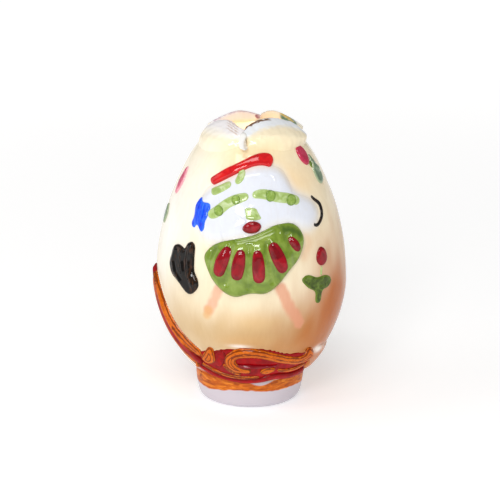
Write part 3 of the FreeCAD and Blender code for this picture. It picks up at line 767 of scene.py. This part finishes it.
relief("strap_gold_outer", 0.5, 1.1, "gold", reshape=widened)
relief("strap_red", 0.6, 0.9, "base_red", grow=0.5)
relief("strap_gold_inner", 0.3, 0.8, "gold")
relief("shoulder_right", 0.65, 1.6, "cream")
relief("back_ground", 0.04, 0.3, "base_red")
relief("back_c_scroll", 0.65, 0.9, "gold", grow=0.3)
relief("back_rope_red", 0.6, 0.7, "base_red")
relief("back_strap_gold_outer", 0.5, 1.1, "gold", reshape=widened)
relief("back_strap_red", 0.6, 0.9, "base_red", grow=0.5)
relief("back_strap_gold_inner", 0.4, 0.8, "gold")
for name in ("mid", "left", "right"):
    relief("back_blossom_" + name, 1.45, 1.3, "rose")
relief("back_stem", 1.3, 0.7, "green")
relief("back_leaves", 1.45, 1.3, "green",
       groove([[(-1.2, 36.2), (-4.6, 36.6), (-7.6, 35.8)], [(1.4, 35.6), (4.8, 36.0), (7.6, 35.4)]],
              0.4, 0.3))


# ---------------------------------------------------------------- shell and foot
COLUMNS = 360
around = np.linspace(-math.pi, math.pi, COLUMNS, endpoint=False)
INSIDE_LEAST_R, INSIDE_DROP = 0.6, 0.6    # least radius inside; share of the wall taken downwards


def ring(r, z):
    """A level circle of points in mm."""
    return np.stack([r * np.sin(around), -r * np.cos(around), np.full(COLUMNS, z)], 1)


def lathe(rows, closed):
    """Points and faces of a revolved surface; closed joins the last row to the first."""
    count = len(rows)
    faces = []
    for i in range(count if closed else count - 1):
        for j in range(COLUMNS):
            a, b, k = i * COLUMNS, ((i + 1) % count) * COLUMNS, (j + 1) % COLUMNS
            faces.append((a + j, a + k, b + k, b + j))
    return np.concatenate(rows), faces


# outside from the foot to the mouth, over the rim, and down the inside
levels = np.concatenate([np.linspace(1.62, 6.0, 16)[:-1], np.arange(6.0, MOUTH_Z - 0.5, 0.4),
                         [MOUTH_Z - 0.35]])
rows, heights = [], []
for z in levels:
    level = np.full(COLUMNS, z)
    rows.append(place(around, level, look_up(MOUNDS, around, level)))
    heights.append(z)
top_r = float(egg_r(MOUTH_Z))
for r, z in ((top_r - 0.35, MOUTH_Z - 0.05), ((top_r + MOUTH_R) / 2, MOUTH_Z),
             (MOUTH_R + 0.3, MOUTH_Z - 0.05), (MOUTH_R, MOUTH_Z - 0.4)):
    rows.append(ring(r, z))
    heights.append(z)
inner_z = np.linspace(MOUTH_Z - 2.3, HEEL_Z + WALL + 0.06, 32)
for z in inner_z:
    nr, nz = (float(k) for k in egg_normal(z))
    rows.append(ring(max(float(egg_r(z)) - nr * WALL, INSIDE_LEAST_R), z - nz * WALL * INSIDE_DROP))
    heights.append(z)
verts, faces = lathe(rows, False)
centre_low, last_row = len(verts), len(verts) - COLUMNS
verts = np.concatenate([verts, [[0, 0, HEEL_Z], [0, 0, float(rows[-1][0][2])]]])
for j in range(COLUMNS):
    k = (j + 1) % COLUMNS
    faces += [(centre_low, k, j), (centre_low + 1, last_row + j, last_row + k)]
all_az = np.concatenate([np.tile(around, len(rows)), [0.0, 0.0]])
all_z = np.concatenate([np.repeat(heights, COLUMNS), [HEEL_Z, inner_z[-1]]])
paint = ground_paint(all_az, all_z)
inner_row = len(levels) + 2               # from the middle of the rim inwards
inside_wall = (np.arange(len(verts)) >= inner_row * COLUMNS).astype(float)
# the inside wall is painted lighter as painted light, and marked for the painted glow
paint[inside_wall > 0] = INSIDE_LIT_CREAM
add_piece("egg_shell", verts, faces, "cream", paint, inside=inside_wall)

# the foot ring's section, (radius, height): outside, and back down the inside
FOOT = [(11.3, 0.0), (11.75, 0.03), (12.4, 0.25), (12.95, 0.65), (13.35, 1.15), (13.6, 1.7),
        (13.78, 2.3), (13.92, 2.9), (14.05, 3.6), (14.15, 4.2), (14.24, 4.8), (14.32, 5.4),
        (14.38, 6.0), (14.42, 6.6), (14.42, 7.2), (14.36, 7.7), (14.1, 8.05), (13.6, 8.0)]
FOOT_IN = [(12.4, 7.2), (11.2, 6.4), (10.3, 5.8), (10.2, 5.0), (10.2, 3.0), (10.2, 1.2),
           (10.25, 0.5), (10.5, 0.15), (10.8, 0.02)]
fine_foot = []
for (r0, z0), (r1, z1) in zip(FOOT, FOOT[1:]):
    fine_foot += [(r0 + (r1 - r0) * t, z0 + (z1 - z0) * t) for t in (0, 0.25, 0.5, 0.75)]
fine_foot += [FOOT[-1]] + FOOT_IN
rows = []
for r, z in fine_foot:
    p = ring(r, z)
    uneven = 0.10 * SLOW(p) + 0.03 * RIPPLE(p)
    lift = smooth(z, 0.05, 0.9)
    rows.append(p * np.stack([1 + uneven * lift / r] * 2 + [np.ones(COLUMNS)], 1))
verts, faces = lathe(rows, True)
az = np.arctan2(verts[:, 0], -verts[:, 1])
z = verts[:, 2]
# the gilding has a wavy lower edge, and lets the glaze show in a gap near the front
low_edge = 4.75 + 0.5 * np.cos(az * 2 - 0.5) + 0.25 * np.cos(az * 5 + 1.0) + 0.12 * FINE(verts)
gilt = smooth(z, low_edge - 0.12, low_edge + 0.12)
GAP_AZ, GAP_WIDE, GAP_DEEP = math.radians(12), 0.34, 2.1
gap = np.exp(-(wrap(az - GAP_AZ) / GAP_WIDE) ** 2)
high_edge = 9.0 - GAP_DEEP * gap + 0.15 * RIPPLE(verts)
gilt = gilt * (1 - smooth(z, high_edge - 0.15, high_edge + 0.15))
# the foot's white carries painted shade, and is a little darker towards the bottom
paint = np.tile(FOOT_WHITE_SHADED, (len(verts), 1)) * (0.96 + 0.05 * smooth(z, 0, 4))[:, None]
add_piece("foot_ring", verts, faces, "foot", paint, gilt=gilt)


# ---------------------------------------------------------------- petals round the mouth
def softened(node, voxel, rounds):
    """The CAD piece as one fine mesh with its corners melted, in mm."""
    piece = bpy.data.objects.new("melt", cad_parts[node].data.copy())
    scene.collection.objects.link(piece)
    piece.modifiers.new("remesh", "REMESH").voxel_size = voxel * MM
    melt = piece.modifiers.new("melt", "SMOOTH")
    melt.factor, melt.iterations = 0.5, rounds
    bpy.context.view_layer.update()
    mesh = bpy.data.meshes.new_from_object(
        piece.evaluated_get(bpy.context.evaluated_depsgraph_get()))
    verts = np.array([v.co[:] for v in mesh.vertices]) / MM
    normals = np.array([v.normal[:] for v in mesh.vertices])
    faces = [tuple(p.vertices) for p in mesh.polygons]
    bpy.data.objects.remove(piece)
    bpy.data.meshes.remove(mesh)
    return verts, normals, faces


BLUE_WHITE, LAVENDER, PEACH = rgb(238, 244, 252), rgb(240, 238, 248), rgb(250, 226, 192)
WARM_WHITE = rgb(252, 250, 246)
GILT_DARK, GILT = rgb(110, 66, 18), rgb(228, 160, 74)
PLUM, LEAF_DARK, LEAF_GOLD = rgb(170, 110, 140), rgb(92, 124, 100), rgb(206, 176, 96)
BRUSHED, PLUM_DARK = rgb(176, 128, 72), rgb(140, 66, 92)
LIP_Y = 6.7                               # how far out the inner face of a petal's lip stands
_ragged = Waves(31, 1.3, 9)


def lay(colour, k, tint):
    """Tint laid over a colour, as thick as k says."""
    k = np.clip(k, 0, 1)[:, None]
    return colour * (1 - k) + tint * k


def band(d, half, soft=0.25):
    """One within half of nought, with soft edges."""
    return 1 - smooth(np.abs(d), half - soft / 2, half + soft / 2)


def turned(verts, degrees):
    """Points in a frame at an azimuth: x along the lip, y outward from the axis."""
    turn = math.radians(degrees)
    return (verts[:, 0] * math.cos(turn) + verts[:, 1] * math.sin(turn),
            verts[:, 0] * math.sin(turn) - verts[:, 1] * math.cos(turn))


def petal_paint(name, verts, middle):
    """Colours of a petal whose middle is at an azimuth."""
    x, y = turned(verts, middle)
    z = verts[:, 2]
    az = np.arctan2(verts[:, 0], -verts[:, 1])
    colour = ground_paint(az, np.minimum(z, 73.0))
    rag = _ragged(verts)
    lip = y - LIP_Y
    inner = 1 - smooth(lip + 0.2 * rag, -0.1, 0.5)
    at = np.arange(-11.0, 11.01, 0.5)
    tops = np.array([z[np.abs(x - k) < 0.6].max(initial=70.0) for k in at])
    drop = np.interp(x, at, tops) - z
    crest = 1 - smooth(drop + 0.25 * rag, 1.0, 2.2)
    if name == "petal_front_right":
        colour = lay(colour, crest * 0.95, BLUE_WHITE)
        colour = lay(colour, inner, PEACH)
        line = band(lip - 0.75 + 0.3 * rag, 0.5) * (1 - smooth(x, -0.6, 0.6))
        colour = lay(colour, line * smooth(rag, -0.8, -0.5) * 0.95, GILT_DARK)
        colour = lay(colour, band(lip + 0.5 + 0.2 * rag, 0.3) * 0.7, GILT)
    elif name == "petal_front_left":
        colour = lay(colour, smooth(z + 0.2 * rag, 70.6, 73.0) * 0.9, WARM_WHITE)
        colour = lay(colour, crest * 0.6, LAVENDER)
        colour = lay(colour, inner * 0.6, PEACH)
        # slanting brush strokes beside the notch, straight as seen from 15 degrees up
        up = 0.966 * z + 0.259 * verts[:, 1]
        across = 0.6 * verts[:, 0] + 0.8 * up
        foot_of_v = 0.6 * -2.0 + 0.8 * (0.966 * 71.6 - 0.259 * 9.6)
        near_v = smooth(verts[:, 0], -7.2, -6.0) * (1 - smooth(verts[:, 0], -4.4, -3.2))
        for k in range(5):
            line = band(across - foot_of_v + 1.0 - 0.6 * k + 0.15 * rag, 0.12, 0.22)
            colour = lay(colour, line * near_v * 0.6, BRUSHED)
    elif name == "petal_back_left":
        colour = lay(colour, smooth(z, 72.0, 73.6) * 0.9, LAVENDER)
        colour = lay(colour, inner * 0.25, PEACH)
        colour = lay(colour, band(drop - 0.3, 0.14) * smooth(rag, -0.5, 0.1) * 0.5, PLUM)
        spot = np.hypot(verts[:, 0] - 1.1, (drop - 0.9) * 1.2)
        colour = lay(colour, (1 - smooth(spot, 0.5, 0.9)) * inner, PLUM_DARK)
    else:
        colour = lay(colour, smooth(z, 73.0, 74.2) * 0.6, BLUE_WHITE)
        colour = lay(colour, inner * 0.8, PEACH)
        leaf = smooth(verts[:, 0], 6.4, 7.4) * (1 - smooth(verts[:, 0], 10.6, 11.6))
        colour = lay(colour, leaf * band(drop - 0.75 + 0.2 * rag, 0.5), LEAF_DARK)
        colour = lay(colour, leaf * band(drop - 0.1, 0.2), LEAF_GOLD)
    return colour


# the hem is where a petal's outside leaves the shell: heights at distances from its middle
HEM_X = (0, 6, 10.6, 13)
HEM_RIGHT, HEM_LEFT = (67.9, 68.7, 69.2, 71.0), (66.1, 66.9, 69.2, 71.0)
BLEND = 6.0                               # height over which a petal leaves the shell
PETALS = (("petal_front_right", NOTCH_AZ + 45), ("petal_back_right", NOTCH_AZ + 135),
          ("petal_back_left", NOTCH_AZ + 225), ("petal_front_left", NOTCH_AZ + 315))
for name, middle in PETALS:
    verts, normals, faces = softened(name, 0.24, 30)
    x, _ = turned(verts, middle)
    hem = np.interp(np.abs(x), HEM_X, HEM_RIGHT if name.endswith("right") else HEM_LEFT)
    blend = np.interp(x, (-4, 8), (BLEND, 2.2)) if name == "petal_front_right" else BLEND
    outside = smooth(np.hypot(verts[:, 0], verts[:, 1]), 6.0, 12.0)
    verts = verts + normals * (0.24 + 0.10 * RIPPLE(verts) + 0.05 * FINE(verts) * outside)[:, None]
    high = above_egg(verts)
    rise = smooth((verts[:, 2] - hem) / blend, 0.0, 1.0)
    sink = np.where((high > -0.6) & (verts[:, 2] < 72.4), (high + 0.25) * (1 - rise), 0)
    radius = np.hypot(verts[:, 0], verts[:, 1])
    nr, nz = egg_normal(verts[:, 2])
    verts = verts - np.stack([verts[:, 0] / radius * nr, verts[:, 1] / radius * nr, nz],
                             1) * sink[:, None]
    add_piece(name, verts, faces, "cream", petal_paint(name, verts, middle))

# the bead runs down from the notch: slim, shorter than in CAD, hooked at its end
verts, normals, faces = softened("notch_bead", 0.2, 4)
verts = verts + normals * 0.05
bead_low, bead_high = verts[:, 2].min(), verts[:, 2].max()
t = (verts[:, 2] - bead_low) / (bead_high - bead_low)
turn = math.radians(NOTCH_AZ)
x, _ = turned(verts, NOTCH_AZ)
BEAD_SHORT, BEAD_LIFT = 0.82, 0.5
slim = np.interp(t, (0, 0.15, 0.55, 1.0), (0.75, 0.62, 0.6, 1.25))
hook = 0.55 * (1 - smooth(t, 0.0, 0.16)) - 0.15
move = x * (slim - 1) + hook
verts[:, 2] = bead_high + BEAD_LIFT - (bead_high - verts[:, 2]) * BEAD_SHORT
verts[:, 0] += move * math.cos(turn)
verts[:, 1] += move * math.sin(turn)
add_piece("notch_bead", verts, faces, "white", np.tile(BEAD_WHITE, (len(verts), 1)))

# ---------------------------------------------------------------- floor, light and camera
FLOOR_STEPS = ((12.0, 0.0), (30.0, 2.2))  # flat out to 12 m, then rising gently
floor_mesh = bpy.data.meshes.new("floor")
corners = ((-1, -1), (1, -1), (1, 1), (-1, 1))
floor_mesh.from_pydata([(x * half, y * half, z) for half, z in FLOOR_STEPS for x, y in corners], [],
                       [(0, 1, 2, 3)] + [(k, k + 4, (k + 1) % 4 + 4, (k + 1) % 4) for k in range(4)])
floor = bpy.data.objects.new("floor", floor_mesh)
floor_look = bpy.data.materials.new("floor_paper")
floor_look.use_nodes = True
floor_nodes = floor_look.node_tree.nodes
floor_shader = floor_nodes["Principled BSDF"]
floor_shader.inputs["Base Color"].default_value = (0.9, 0.9, 0.9, 1)
floor_shader.inputs["Roughness"].default_value = 0.9
floor_shader.inputs["Emission Strength"].default_value = 1.0
floor_spot = floor_nodes.new("ShaderNodeTexCoord")
# the paper glows a little more away from the egg
floor_far = floor_nodes.new("ShaderNodeVectorMath")
floor_far.operation = "LENGTH"
floor_ramp = floor_nodes.new("ShaderNodeMapRange")
for key, value in (("From Max", 0.7), ("To Min", 0.32), ("To Max", 0.66)):
    floor_ramp.inputs[key].default_value = value
floor_link = floor_look.node_tree.links.new
floor_link(floor_spot.outputs["Object"], floor_far.inputs[0])
floor_link(floor_far.outputs["Value"], floor_ramp.inputs["Value"])
floor_link(floor_ramp.outputs["Result"], floor_shader.inputs["Emission Color"])
floor_mesh.materials.append(floor_look)
scene.collection.objects.link(floor)
floor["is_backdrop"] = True

AIM = Vector((0, 0, 37.4)) * MM


def area_light(name, azimuth, elevation, distance_mm, width, height, power):
    """A soft box that faces the egg."""
    light = bpy.data.lights.new(name, "AREA")
    light.shape, light.size, light.size_y = "RECTANGLE", width * MM, height * MM
    light.energy = power
    lamp = bpy.data.objects.new(name, light)
    a, e = math.radians(azimuth), math.radians(elevation)
    way = Vector((math.sin(a) * math.cos(e), -math.cos(a) * math.cos(e), math.sin(e)))
    lamp.location = AIM + way * distance_mm * MM
    lamp.rotation_euler = way.to_track_quat("Z", "Y").to_euler()
    scene.collection.objects.link(lamp)


# a window of four panes in front: degrees from its middle, width and height; then a slim
# box on the right, a broad one high in front and a soft fill on the left
PANES = ((-9, 4, 120, 84), (4, 5, 110, 70), (-7, -4.5, 100, 60), (8, -4, 130, 66))
WINDOW_AZ, WINDOW_EL, WATTS_PER_MM2 = -9, 26, 5.7e-5
for k, (da, de, w, h) in enumerate(PANES):
    area_light("window_%d" % k, WINDOW_AZ + da, WINDOW_EL + de, 700, w, h, w * h * WATTS_PER_MM2)
area_light("slit", 36, 44, 700, 20, 130, 0.14)
area_light("high", -16, 58, 700, 430, 120, 1.0)
area_light("fill_left", -78, 18, 900, 500, 700, 1.3)
world = bpy.data.worlds.new("studio")
world.use_nodes = True
world.node_tree.nodes["Background"].inputs["Color"].default_value = (1.0, 0.99, 0.98, 1)
world.node_tree.nodes["Background"].inputs["Strength"].default_value = 0.38
scene.world = world
scene.view_settings.view_transform = "Standard"

ELEVATION, RANGE_MM, ROLL, LENS, SENSOR = 15.0, 420.0, 0.85, 114.7, 36.0
SHIFT = (-0.0028, 0.0156)                 # centres the egg as the photograph's frame does
camera_data = bpy.data.cameras.new("camera")
camera_data.lens, camera_data.sensor_width = LENS, SENSOR
camera_data.shift_x, camera_data.shift_y = SHIFT
camera_data.clip_start, camera_data.clip_end = 0.01, 20
camera = bpy.data.objects.new("camera", camera_data)
e = math.radians(ELEVATION)
back = Vector((0, -math.cos(e), math.sin(e)))
camera.location = AIM + back * RANGE_MM * MM
camera.rotation_euler = (back.to_track_quat("Z", "Y").to_matrix()
                         @ Matrix.Rotation(math.radians(ROLL), 3, "Z")).to_euler()
scene.collection.objects.link(camera)
scene.camera = camera

low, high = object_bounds()
